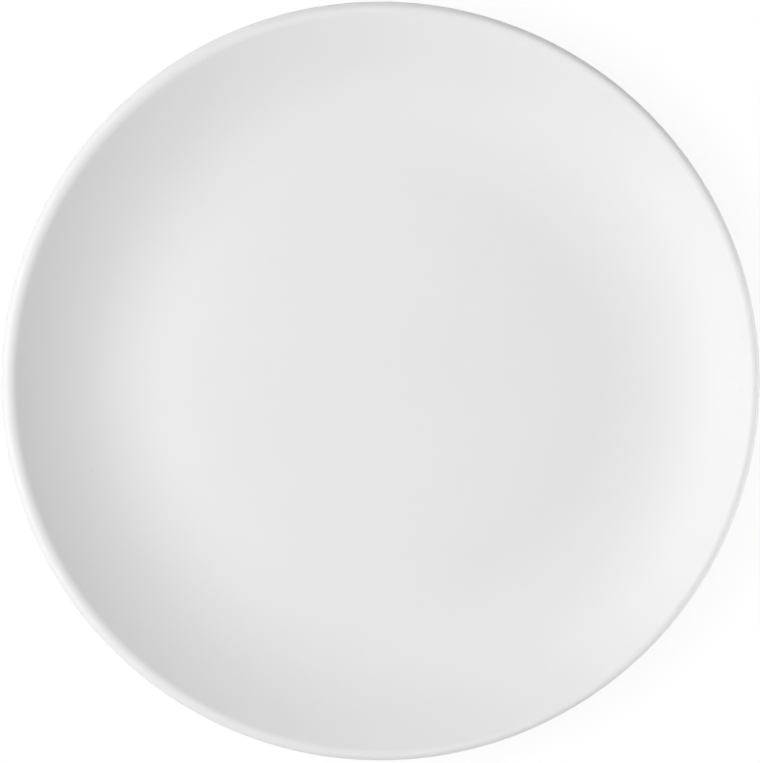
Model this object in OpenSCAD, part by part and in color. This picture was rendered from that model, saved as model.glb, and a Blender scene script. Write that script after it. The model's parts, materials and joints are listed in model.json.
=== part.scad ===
// Coupe dinner plate in glazed porcelain: a crowned well, a wall that sweeps up in one arc
// to a rolled lip, and a foot ring that is left bare where it bears on the table.
// Every surface is turned about Z, and the plate stands on the plane Z = 0.
// The sizes are those of the glazed plate, and the porcelain lies one glaze thickness below them.

/* [Plate] */
// Diameter over the lip
plate_d = 270; // [230:1:320]
// Height from the table to the top of the lip
plate_h = 26; // [21:0.5:35]
// Thickness of the base
base_t = 5.2; // [4:0.1:7]

/* [Well] */
// Diameter at which the well turns up into the wall, with the foot ring right under it
well_d = 156; // [120:1:190]
// Rise of the middle of the well above its edge
well_crown = 1; // [0.2:0.1:2]

/* [Lip] */
// Radius of the shoulder where the face of the wall turns level
lip_shoulder_r = 4; // [2.5:0.1:8]
// Radius of the nose from the top of the lip round to the underside
lip_nose_r = 2.6; // [1.8:0.1:3]

/* [Foot ring] */
// Height of the base above the table
foot_h = 4.3; // [3.3:0.1:6.5]
// Width of the flat that bears on the table
foot_w = 3; // [2:0.1:6]
// Rounding at both edges of that flat
foot_edge_r = 0.6; // [0.3:0.05:1]
// Radius of the coves between the ring and the underside
foot_cove_r = 2; // [1:0.1:2.4]
// Draft of both flanks of the ring, in degrees
foot_draft = 12; // [5:1:20]

/* [Glaze] */
// Thickness of the glaze
glaze_t = 0.3; // [0.15:0.05:0.5]
// Height of the bare porcelain on the flanks of the ring
bare_h = 1.2; // [0.8:0.1:1.5]

/* [Drawing] */
// Largest distance between an arc and the chords that draw it
arc_tol = 0.005; // [0.002:0.001:0.02]

/* [Hidden] */
$fn = 180;

GLAZE_COLOUR = [0.93, 0.93, 0.92];
PORCELAIN_COLOUR = [0.87, 0.85, 0.81];

// Direction of a vector, in degrees
function heading(v) = atan2(v.y, v.x);

// Points along an arc about a centre, with both its ends
function arc(centre, r, from_a, to_a) =
    let (steps = ceil(abs(to_a - from_a) / (2 * acos(1 - arc_tol / r))))
    [for (i = [0 : steps]) let (a = from_a + (to_a - from_a) * i / steps) centre + r * [cos(a), sin(a)]];

// Arcs that follow on from one another as one path, with each shared point kept once
function chained(arcs) =
    [for (k = [0 : len(arcs) - 1]) for (i = [min(k, 1) : len(arcs[k]) - 1]) arcs[k][i]];

function reversed(path) = [for (i = [len(path) - 1 : -1 : 0]) path[i]];

// The crown is a shallow arc about a centre far below,
// and edge_line is its normal at the edge of the well
well_r = well_d / 2;
crown_a = 2 * atan(well_crown / well_r);
crown_r = well_r / sin(crown_a);
crown_c = [0, foot_h - (crown_r - base_t) * cos(crown_a)];
edge_line = [sin(crown_a), cos(crown_a)];

// The lip: its shoulder and its nose meet at its top
shoulder_c = [plate_d / 2 - lip_nose_r, plate_h - lip_shoulder_r];
nose_c = [plate_d / 2 - lip_nose_r, plate_h - lip_nose_r];

// Radius of the arc that leaves a point of the edge line square to it and touches a circle of radius r,
// from outside, or with -r from around it
function sweep_r(start, centre, r) =
    let (span = centre - start)
    (span * span - r * r) / (2 * (span * edge_line + r));

// The wall: its face sweeps from the edge of the well to the shoulder,
// and its underside from the edge of the base to the nose
face_edge = crown_c + crown_r * edge_line;
face_r = sweep_r(face_edge, shoulder_c, lip_shoulder_r);
face_c = face_edge + face_r * edge_line;
under_edge = crown_c + (crown_r - base_t) * edge_line;
under_r = sweep_r(under_edge, nose_c, -lip_nose_r);
under_c = under_edge + under_r * edge_line;

// The foot ring, where side is 1 on its outer flank and -1 on its inner flank
flank_step = foot_edge_r + glaze_t;
stop_rise = (bare_h - foot_edge_r * (1 - sin(foot_draft))) / cos(foot_draft);
function edge_c(side) = [well_r + side * foot_w / 2, foot_edge_r];
function flank_normal(side) = [side * cos(foot_draft), -sin(foot_draft)];
function flank_up(side) = [side * sin(foot_draft), cos(foot_draft)];

// Centre of the cove between a flank and an underside arc, at distance r from the arc's own centre
function cove_c(side, centre, r) =
    let (start = edge_c(side) + (flank_step + foot_cove_r) * flank_normal(side),
         along = (start - centre) * flank_up(side),
         across = (start - centre) * flank_normal(side))
    start - (along + side * sqrt(r * r - across * across)) * flank_up(side);
outer_cove_c = cove_c(1, under_c, under_r + foot_cove_r);
inner_cove_c = cove_c(-1, crown_c, crown_r - base_t - foot_cove_r);

// Where the glaze stops on a flank, at a depth below its surface
function glaze_stop(side, depth) =
    edge_c(side) + (flank_step - depth) * flank_normal(side) + stop_rise * flank_up(side);

// From the axis over the face, round the lip and along the underside to the outer flank,
// at a depth below the glazed surface
function upper_path(depth) = concat(
    chained([
        arc(crown_c, crown_r - depth, 90, 90 - crown_a),
        arc(face_c, face_r + depth, -90 - crown_a, heading(shoulder_c - face_c)),
        arc(shoulder_c, lip_shoulder_r - depth, heading(face_c - shoulder_c), 90),
        arc(nose_c, lip_nose_r - depth, 90, heading(nose_c - under_c)),
        arc(under_c, under_r - depth, heading(nose_c - under_c), heading(outer_cove_c - under_c)),
        arc(outer_cove_c, foot_cove_r + depth, heading(under_c - outer_cove_c), 180 - foot_draft)
    ]),
    [glaze_stop(1, depth)]
);

// Round the bare tip of the foot ring, from its outer flank to its inner one
function foot_tip() = concat(
    arc(edge_c(1), foot_edge_r, -foot_draft, -90),
    arc(edge_c(-1), foot_edge_r, -90, foot_draft - 180)
);

// From the inner flank across the underside to the axis, at a depth below the glazed surface
function lower_path(depth) = concat(
    [glaze_stop(-1, depth)],
    chained([
        arc(inner_cove_c, foot_cove_r + depth, foot_draft, heading(inner_cove_c - crown_c)),
        arc(crown_c, crown_r - base_t + depth, heading(inner_cove_c - crown_c), 90)
    ])
);

module turned(outline) {
    rotate_extrude()
        polygon(outline);
}

module porcelain_body() {
    color(PORCELAIN_COLOUR)
        turned(concat(upper_path(glaze_t), foot_tip(), lower_path(glaze_t)));
}

module glaze_coat() {
    color(GLAZE_COLOUR)
        turned(concat(upper_path(0), reversed(upper_path(glaze_t))));
}

module foot_well_glaze() {
    color(GLAZE_COLOUR)
        turned(concat(lower_path(0), reversed(lower_path(glaze_t))));
}

porcelain_body();
glaze_coat();
foot_well_glaze();
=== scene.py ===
"""Coupe dinner plate in white glazed porcelain, dressed around its frame and seen from straight above."""

import cmath
import json
import math

import bpy
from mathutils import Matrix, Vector


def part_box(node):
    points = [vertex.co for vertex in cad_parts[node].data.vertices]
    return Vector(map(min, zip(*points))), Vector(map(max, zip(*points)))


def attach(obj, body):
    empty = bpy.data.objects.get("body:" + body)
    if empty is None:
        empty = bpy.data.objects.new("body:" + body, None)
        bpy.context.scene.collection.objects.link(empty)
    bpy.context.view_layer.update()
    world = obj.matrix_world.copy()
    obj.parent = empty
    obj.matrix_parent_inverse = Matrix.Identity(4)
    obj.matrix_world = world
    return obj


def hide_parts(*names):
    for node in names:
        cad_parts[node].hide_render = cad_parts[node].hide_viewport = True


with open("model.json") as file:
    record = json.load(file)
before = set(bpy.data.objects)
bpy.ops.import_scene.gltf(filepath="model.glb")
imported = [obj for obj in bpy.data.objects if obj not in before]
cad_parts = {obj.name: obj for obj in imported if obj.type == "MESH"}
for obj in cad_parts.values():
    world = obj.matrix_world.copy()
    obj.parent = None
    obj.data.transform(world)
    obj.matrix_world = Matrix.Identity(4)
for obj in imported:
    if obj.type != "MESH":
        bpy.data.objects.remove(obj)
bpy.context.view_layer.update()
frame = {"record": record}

# Sizes of the plate in metres: its reach comes from the frame, and the rest are those of its solids
MM = 0.001
PLATE_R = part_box("glaze_coat")[1].x
PLATE_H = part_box("glaze_coat")[1].z
BASE_T = 5.2 * MM
WELL_R = 78 * MM
WELL_CROWN = 1 * MM
SHOULDER_R = 4 * MM
NOSE_R = 2.6 * MM
FOOT_H = 4.3 * MM
FOOT_W = 3 * MM
FOOT_EDGE_R = 0.6 * MM
FOOT_COVE_R = 2 * MM
FOOT_DRAFT = math.radians(12)
GLAZE_T = 0.3 * MM
BARE_H = 1.2 * MM

# The lip was trimmed a little off the middle: towards one angle its top lies nearer the edge and
# its shoulder is tighter, and on the other side its top lies further in and its shoulder is wider
TRIM_ANGLE = math.radians(-25)
TOP_INSET, TOP_SWAY = 2.4 * MM, 0.8 * MM
SHOULDER_SWAY = 1 * MM

# The glaze line on the foot ring wanders a little: waves round the ring, start in radians, and height
GLAZE_WAVES = (
    (3, 0.4, 0.06 * MM),
    (8, 2.1, 0.04 * MM),
    (19, 5.0, 0.03 * MM),
    (43, 3.3, 0.015 * MM),
)

# Fineness of the meshes: segments round the plate, and steps along each part of its section
TURN = 2 * math.pi
SEGMENTS = 288
CROWN_STEPS = 10
WALL_STEPS = 38
LIP_STEPS = 14
COVE_STEPS = 12
EDGE_STEPS = 6
LINE_STEPS = 4

# The camera looks straight down, and the plate's middle and radius lie where the photograph has them
PHOTO_W, PHOTO_H = 760, 763
MIDDLE_X_PX, MIDDLE_Y_PX = 380.3, 380.9
RADIUS_PX = 379.4
LENS_MM, SENSOR_MM = 150, 36


# The section of the plate, in which a point is a complex number: its radius plus 1j times its height

def dot(a, b):
    """The dot product of two points taken as vectors."""
    return (a * b.conjugate()).real


def arc(centre, r, start, end, steps):
    """Points along an arc about a centre, with both its ends."""
    return [centre + cmath.rect(r, start + (end - start) * i / steps) for i in range(steps + 1)]


def oval(top, side, steps):
    """Points along a quarter of an oval, from its top to its side."""
    out, down = (side - top).real, (side - top).imag
    return [top + out * p.real + 1j * down * (1 - p.imag) for p in arc(0, 1, math.pi / 2, 0, steps)]


def line(start, end):
    """Points between two points, without the ends."""
    return [start + (end - start) * i / LINE_STEPS for i in range(1, LINE_STEPS)]


def chained(*arcs):
    """Arcs that follow on from one another as one path, with each shared point kept once."""
    return arcs[0] + [p for following in arcs[1:] for p in following[1:]]


# The crown of the well is a shallow arc about a centre far below, and EDGE_LINE is its normal at the edge
CROWN_A = 2 * math.atan(WELL_CROWN / WELL_R)
CROWN_R = WELL_R / math.sin(CROWN_A)
CROWN_C = 1j * (FOOT_H - (CROWN_R - BASE_T) * math.cos(CROWN_A))
EDGE_LINE = cmath.rect(1, math.pi / 2 - CROWN_A)


def lip(angle):
    """The top of the lip towards an angle, and the radius of its shoulder there."""
    sway = math.cos(angle - TRIM_ANGLE)
    top = PLATE_R - TOP_INSET + TOP_SWAY * sway + 1j * PLATE_H
    return top, SHOULDER_R - SHOULDER_SWAY * sway


def sweep_r(start, centre, r):
    """Radius of the arc that leaves the edge line squarely to touch a circle, or with -r to surround it."""
    span = centre - start
    return (abs(span) ** 2 - r * r) / (2 * (dot(span, EDGE_LINE) + r))


# The edges of the well's face and underside, the nose of the lip, and the underside of the wall
FACE_EDGE = CROWN_C + CROWN_R * EDGE_LINE
UNDER_EDGE = CROWN_C + (CROWN_R - BASE_T) * EDGE_LINE
NOSE_C = PLATE_R - NOSE_R + 1j * (PLATE_H - NOSE_R)
UNDER_R = sweep_r(UNDER_EDGE, NOSE_C, -NOSE_R)
UNDER_C = UNDER_EDGE + UNDER_R * EDGE_LINE

# The foot ring, where side is 1 on its outer flank and -1 on its inner flank
FLANK_STEP = FOOT_EDGE_R + GLAZE_T
STOP_RISE = (BARE_H - FOOT_EDGE_R * (1 - math.sin(FOOT_DRAFT))) / math.cos(FOOT_DRAFT)


def edge_c(side):
    """Centre of the rounding at the edge of the bearing face."""
    return WELL_R + side * FOOT_W / 2 + 1j * FOOT_EDGE_R


def flank_normal(side):
    """The direction square to a flank and away from the ring."""
    return side * math.cos(FOOT_DRAFT) - 1j * math.sin(FOOT_DRAFT)


def flank_up(side):
    """The direction up along a flank."""
    return side * math.sin(FOOT_DRAFT) + 1j * math.cos(FOOT_DRAFT)


def cove_c(side, centre, r):
    """Centre of the cove between a flank and an underside arc, at distance r from the arc's own centre."""
    start = edge_c(side) + (FLANK_STEP + FOOT_COVE_R) * flank_normal(side)
    along = dot(start - centre, flank_up(side))
    across = dot(start - centre, flank_normal(side))
    return start - (along + side * math.sqrt(r * r - across * across)) * flank_up(side)


OUTER_COVE_C = cove_c(1, UNDER_C, UNDER_R + FOOT_COVE_R)
INNER_COVE_C = cove_c(-1, CROWN_C, CROWN_R - BASE_T - FOOT_COVE_R)


def upper_path(depth, angle):
    """From the axis over the face and round the lip to the outer flank, at a depth below the surface."""
    top, shoulder_r = lip(angle)
    shoulder_c = top - 1j * shoulder_r
    face_r = sweep_r(FACE_EDGE, shoulder_c, shoulder_r)
    face_c = FACE_EDGE + face_r * EDGE_LINE
    rise = cmath.phase(shoulder_c - face_c)
    nose_end = cmath.phase(NOSE_C - UNDER_C)
    cove_start = cmath.phase(OUTER_COVE_C - UNDER_C)
    return chained(
        arc(CROWN_C, CROWN_R - depth, math.pi / 2, math.pi / 2 - CROWN_A, CROWN_STEPS),
        arc(face_c, face_r + depth, -math.pi / 2 - CROWN_A, rise, WALL_STEPS),
        arc(shoulder_c, shoulder_r - depth, rise + math.pi, math.pi / 2, LIP_STEPS),
        oval(top - 1j * depth, NOSE_C + NOSE_R - depth, LIP_STEPS),
        arc(NOSE_C, NOSE_R - depth, 0, nose_end, LIP_STEPS),
        arc(UNDER_C, UNDER_R - depth, nose_end, cove_start, WALL_STEPS),
        arc(OUTER_COVE_C, FOOT_COVE_R + depth, cove_start + math.pi, math.pi - FOOT_DRAFT, COVE_STEPS),
    )


def lower_path(depth):
    """From the inner flank across the underside to the axis, at a depth below the surface."""
    cove_end = cmath.phase(INNER_COVE_C - CROWN_C)
    return chained(
        arc(INNER_COVE_C, FOOT_COVE_R + depth, FOOT_DRAFT, cove_end, COVE_STEPS),
        arc(CROWN_C, CROWN_R - BASE_T + depth, cove_end, math.pi / 2, CROWN_STEPS),
    )


def glaze_bead(side, angle):
    """The rounded end of the glaze on a flank, from its surface to the porcelain."""
    shift = sum(height * math.sin(waves * side * angle + start) for waves, start, height in GLAZE_WAVES)
    rise = STOP_RISE + GLAZE_T + shift
    centre = edge_c(side) + FOOT_EDGE_R * flank_normal(side) + rise * flank_up(side)
    round_end = arc(0, GLAZE_T, 0, math.pi / 2, EDGE_STEPS)
    return [centre + p.real * flank_normal(side) - p.imag * flank_up(side) for p in round_end]


def body_outline(angle):
    """Section of the porcelain towards an angle."""
    upper, lower = upper_path(GLAZE_T, angle), lower_path(GLAZE_T)
    outer_edge = arc(edge_c(1), FOOT_EDGE_R, -FOOT_DRAFT, -math.pi / 2, EDGE_STEPS)
    inner_edge = arc(edge_c(-1), FOOT_EDGE_R, -math.pi / 2, FOOT_DRAFT - math.pi, EDGE_STEPS)
    return (
        upper + line(upper[-1], outer_edge[0])
        + outer_edge + line(outer_edge[-1], inner_edge[0])
        + inner_edge + line(inner_edge[-1], lower[0]) + lower
    )


def coat_outline(angle):
    """Section of the glaze over the face and down to the foot ring, towards an angle."""
    face, back = upper_path(0, angle), upper_path(GLAZE_T, angle)
    bead = glaze_bead(1, angle)
    return face + line(face[-1], bead[0]) + bead + back[::-1]


def foot_well_outline(angle):
    """Section of the glaze inside the foot ring, towards an angle."""
    face, back = lower_path(0), lower_path(GLAZE_T)
    bead = glaze_bead(-1, angle)[::-1]
    return back[::-1] + bead + line(bead[-1], face[0]) + face


# Materials

def new_material(name):
    """A material, its node tree and its Principled shader."""
    made = bpy.data.materials.new(name)
    made.use_nodes = True
    return made, made.node_tree, made.node_tree.nodes["Principled BSDF"]


def add_node(tree, kind, values=(), **settings):
    """A shader node with its settings and the values of inputs, where a value may be a node's output."""
    made = tree.nodes.new("ShaderNode" + kind)
    for name, value in settings.items():
        setattr(made, name, value)
    for name, value in dict(values).items():
        if isinstance(value, bpy.types.NodeSocket):
            tree.links.new(value, made.inputs[name])
        else:
            made.inputs[name].default_value = value
    return made


def slot_colour(slot):
    """The record's colour of a material slot, with alpha."""
    found = next(m for m in frame["record"]["materials"] if m["slot"] == slot)
    return (*found["base_color"], 1)


def tinted(colour, share):
    """A colour made lighter, or darker where share is under 0."""
    return (*(c * (1 + share) for c in colour[:3]), 1)


def ramp(tree, factor, low_colour, high_colour, low, high):
    """A colour that goes from one to another as a factor goes from low to high."""
    made = add_node(tree, "ValToRGB", {"Fac": factor})
    for stop, place, colour in zip(made.color_ramp.elements, (low, high), (low_colour, high_colour)):
        stop.position = place
        stop.color = colour
    return made.outputs["Color"]


BLACK, WHITE = (0, 0, 0, 1), (1, 1, 1, 1)

# The glaze: its white, which has no tint in the photograph, the share by which it clouds, the colour of a
# speck and the share of it that shows through, the range of roughness, and the depths of peel and swell
GLAZE_WHITE = (0.84, 0.84, 0.84, 1)
CLOUD_SHARE = 0.006
SPECK_BROWN = (0.42, 0.38, 0.33, 1)
SPECK_SHARE = 0.22
GLAZE_SMOOTH, GLAZE_ROUGH = 0.3, 0.38
PEEL_DEPTH, SWELL_DEPTH = 0.004 * MM, 0.03 * MM

# The bare porcelain: the shares by which its grain is darker and lighter, the range of roughness, and the
# depth of the grinding
GRAIN_DARKER, GRAIN_LIGHTER = -0.1, 0.06
GROUND_SMOOTH, GROUND_ROUGH = 0.55, 0.8
GRINDING_DEPTH = 0.05 * MM


def glaze_material():
    """White glaze: faint clouding, a few specks from the kiln, and the soft peel of melted glass."""
    made, tree, shader = new_material("white_glaze")
    place = add_node(tree, "TexCoord").outputs["Object"]

    cloud = add_node(tree, "TexNoise", {"Vector": place, "Scale": 26, "Detail": 4, "Roughness": 0.55})
    dim, bright = tinted(GLAZE_WHITE, -CLOUD_SHARE), tinted(GLAZE_WHITE, CLOUD_SHARE)
    tone = ramp(tree, cloud.outputs["Fac"], dim, bright, low=0.3, high=0.7)
    cells = add_node(tree, "TexVoronoi", {"Vector": place, "Scale": 75})
    speck = ramp(tree, cells.outputs["Distance"], WHITE, BLACK, low=0.012, high=0.03)
    weight = add_node(tree, "Math", {0: speck, 1: SPECK_SHARE}, operation="MULTIPLY")
    colours = add_node(tree, "MixRGB", {"Fac": weight.outputs[0], "Color1": tone, "Color2": SPECK_BROWN})
    tree.links.new(colours.outputs[0], shader.inputs["Base Color"])

    melt = add_node(tree, "TexNoise", {"Vector": place, "Scale": 60, "Detail": 2})
    sheen = add_node(
        tree, "MapRange", {"Value": melt.outputs["Fac"], "To Min": GLAZE_SMOOTH, "To Max": GLAZE_ROUGH},
    )
    tree.links.new(sheen.outputs["Result"], shader.inputs["Roughness"])

    peel = add_node(tree, "TexNoise", {"Vector": place, "Scale": 330, "Detail": 1})
    swell = add_node(tree, "TexNoise", {"Vector": place, "Scale": 34, "Detail": 1})
    fine = add_node(tree, "Bump", {"Height": peel.outputs["Fac"], "Distance": PEEL_DEPTH})
    broad = add_node(
        tree, "Bump",
        {"Height": swell.outputs["Fac"], "Distance": SWELL_DEPTH, "Normal": fine.outputs["Normal"]},
    )
    tree.links.new(broad.outputs["Normal"], shader.inputs["Normal"])
    shader.inputs["IOR"].default_value = 1.5
    return made


def porcelain_material():
    """Bare porcelain: matte and finely grained, with the rings left where the foot was ground."""
    made, tree, shader = new_material("bare_porcelain")
    colour = slot_colour("porcelain")
    place = add_node(tree, "TexCoord").outputs["Object"]

    grain = add_node(tree, "TexNoise", {"Vector": place, "Scale": 2400, "Detail": 3, "Roughness": 0.6})
    across = add_node(tree, "VectorMath", {0: place, 1: (1, 1, 0)}, operation="MULTIPLY")
    radius = add_node(tree, "VectorMath", {0: across.outputs["Vector"]}, operation="LENGTH")
    rings = add_node(
        tree, "TexNoise", {"W": radius.outputs["Value"], "Scale": 5200, "Detail": 2}, noise_dimensions="1D",
    )
    both = add_node(tree, "Math", {0: grain.outputs["Fac"], 1: rings.outputs["Fac"]}, operation="MULTIPLY")
    dark, light = tinted(colour, GRAIN_DARKER), tinted(colour, GRAIN_LIGHTER)
    tone = ramp(tree, both.outputs[0], dark, light, low=0.12, high=0.42)
    tree.links.new(tone, shader.inputs["Base Color"])

    worn = add_node(
        tree, "MapRange", {"Value": rings.outputs["Fac"], "To Min": GROUND_SMOOTH, "To Max": GROUND_ROUGH},
    )
    tree.links.new(worn.outputs["Result"], shader.inputs["Roughness"])
    cut = add_node(tree, "Bump", {"Height": both.outputs[0], "Distance": GRINDING_DEPTH})
    tree.links.new(cut.outputs["Normal"], shader.inputs["Normal"])
    return made


# Pieces

def turned(name, outline_at, material, node):
    """A closed smooth piece for a node, turned about Z from sections that run from axis to axis."""
    angles = [TURN * i / SEGMENTS for i in range(SEGMENTS)]
    rings = [outline_at(angle) for angle in angles]
    count = len(rings[0]) - 2
    verts = [(0, 0, rings[0][0].imag)]
    for angle, ring in zip(angles, rings):
        for p in ring[1:-1]:
            across = cmath.rect(p.real, angle)
            verts.append((across.real, across.imag, p.imag))
    verts.append((0, 0, rings[0][-1].imag))
    faces = []
    for i in range(SEGMENTS):
        here = 1 + i * count
        there = 1 + (i + 1) % SEGMENTS * count
        faces.append((0, here, there))
        faces += [(here + k, here + k + 1, there + k + 1, there + k) for k in range(count - 1)]
        faces.append((here + count - 1, len(verts) - 1, there + count - 1))
    mesh = bpy.data.meshes.new(name)
    mesh.from_pydata(verts, [], faces)
    mesh.shade_smooth()
    mesh.materials.append(material)
    piece = bpy.data.objects.new(name, mesh)
    bpy.context.scene.collection.objects.link(piece)
    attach(piece, "root")
    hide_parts(node)


glaze = glaze_material()
turned("plate_porcelain", body_outline, porcelain_material(), "porcelain_body")
turned("plate_glaze", coat_outline, glaze, "glaze_coat")
turned("foot_well_skin", foot_well_outline, glaze, "foot_well_glaze")


# Studio: white floor and surroundings, soft lamps and the camera

def seen_ray(tree):
    """1 on a ray that shows the surroundings to the camera, straight or by a reflection, and else 0."""
    path = add_node(tree, "LightPath").outputs
    mirrored = add_node(
        tree, "Math", {0: path["Is Glossy Ray"], 1: path["Is Transmission Ray"]}, operation="MAXIMUM",
    )
    either = add_node(tree, "Math", {0: path["Is Camera Ray"], 1: mirrored.outputs[0]}, operation="MAXIMUM")
    return either.outputs[0]


# The floor's half width in metres, and how white it is: as it lights the plate, and as the camera sees it
# near the plate, where one part takes light and shade and the other glows. Between two distances from the
# plate's middle, also in metres, it fades to plain white.
FLOOR_HALF = 6
FLOOR_WHITE = 0.8
FLOOR_SHADED, FLOOR_GLOW = 0.18, 0.86
FADE_START, FADE_END = 0.14, 0.36


def white_floor():
    """A wide white floor, on which the plate's shadow is seen but stays faint."""
    made, tree, shader = new_material("white_floor")
    seen = seen_ray(tree)
    place = add_node(tree, "TexCoord").outputs["Object"]
    reach = add_node(tree, "VectorMath", {0: place}, operation="LENGTH").outputs["Value"]
    fade = {"Value": reach, "From Min": FADE_START, "From Max": FADE_END}
    shaded = add_node(tree, "MapRange", {**fade, "To Min": FLOOR_SHADED, "To Max": 0}).outputs["Result"]
    bright = add_node(tree, "MapRange", {**fade, "To Min": FLOOR_GLOW, "To Max": 1}).outputs["Result"]
    colour = add_node(tree, "MapRange", {"Value": seen, "To Min": FLOOR_WHITE, "To Max": shaded})
    glow = add_node(tree, "Math", {0: seen, 1: bright}, operation="MULTIPLY")
    tree.links.new(colour.outputs["Result"], shader.inputs["Base Color"])
    tree.links.new(glow.outputs[0], shader.inputs["Emission Strength"])
    shader.inputs["Emission Color"].default_value = WHITE
    shader.inputs["Roughness"].default_value = 1
    shader.inputs["Specular IOR Level"].default_value = 0
    mesh = bpy.data.meshes.new("studio_floor")
    corners = [(x * FLOOR_HALF, y * FLOOR_HALF, 0) for x, y in ((-1, -1), (1, -1), (1, 1), (-1, 1))]
    mesh.from_pydata(corners, [], [(0, 1, 2, 3)])
    mesh.materials.append(made)
    floor = bpy.data.objects.new("studio_floor", mesh)
    bpy.context.scene.collection.objects.link(floor)


def white_world():
    """Surroundings that are seen as plain white and leave the light to the lamps."""
    world = bpy.data.worlds.new("studio")
    bpy.context.scene.world = world
    world.use_nodes = True
    tree = world.node_tree
    light = tree.nodes["Background"]
    light.inputs["Color"].default_value = WHITE
    tree.links.new(seen_ray(tree), light.inputs["Strength"])


def softbox(name, azimuth, elevation, reach, width, height, power):
    """A lamp that faces the plate, with angles in degrees, lengths in metres and its power in watts.

    The azimuth goes from +X towards +Y.
    """
    flat, up = math.radians(azimuth), math.radians(elevation)
    towards = Vector((math.cos(flat) * math.cos(up), math.sin(flat) * math.cos(up), math.sin(up)))
    lamp = bpy.data.lights.new(name, "AREA")
    lamp.shape = "RECTANGLE"
    lamp.size = width
    lamp.size_y = height
    lamp.energy = power
    placed = bpy.data.objects.new(name, lamp)
    placed.location = towards * reach
    placed.rotation_euler = towards.to_track_quat("Z", "Y").to_euler()
    placed.visible_camera = False
    bpy.context.scene.collection.objects.link(placed)


def camera():
    """Straight above the plate, so far up that the lip's widest circle has the photograph's radius."""
    focal_px = LENS_MM / SENSOR_MM * max(PHOTO_W, PHOTO_H)
    drop = focal_px * PLATE_R / RADIUS_PX
    metre_px = focal_px / drop
    data = bpy.data.cameras.new("camera")
    data.lens = LENS_MM
    data.sensor_width = SENSOR_MM
    placed = bpy.data.objects.new("camera", data)
    right = (PHOTO_W / 2 - MIDDLE_X_PX) / metre_px
    up = (MIDDLE_Y_PX - PHOTO_H / 2) / metre_px
    placed.location = (right, up, NOSE_C.imag + drop)
    bpy.context.scene.collection.objects.link(placed)
    bpy.context.scene.camera = placed


white_floor()
white_world()
softbox("key", azimuth=175, elevation=40, reach=1.5, width=2.2, height=1, power=16.3)
softbox("overhead", azimuth=180, elevation=75, reach=1.6, width=2, height=2, power=16.6)
softbox("far_side", azimuth=105, elevation=16, reach=1.5, width=1.6, height=0.8, power=1.9)
softbox("near_side", azimuth=270, elevation=16, reach=1.5, width=1.6, height=0.8, power=4.2)
softbox("lip_fill", azimuth=352, elevation=11, reach=0.4, width=0.4, height=0.12, power=0.58)
camera()
bpy.context.scene.view_settings.view_transform = "Standard"
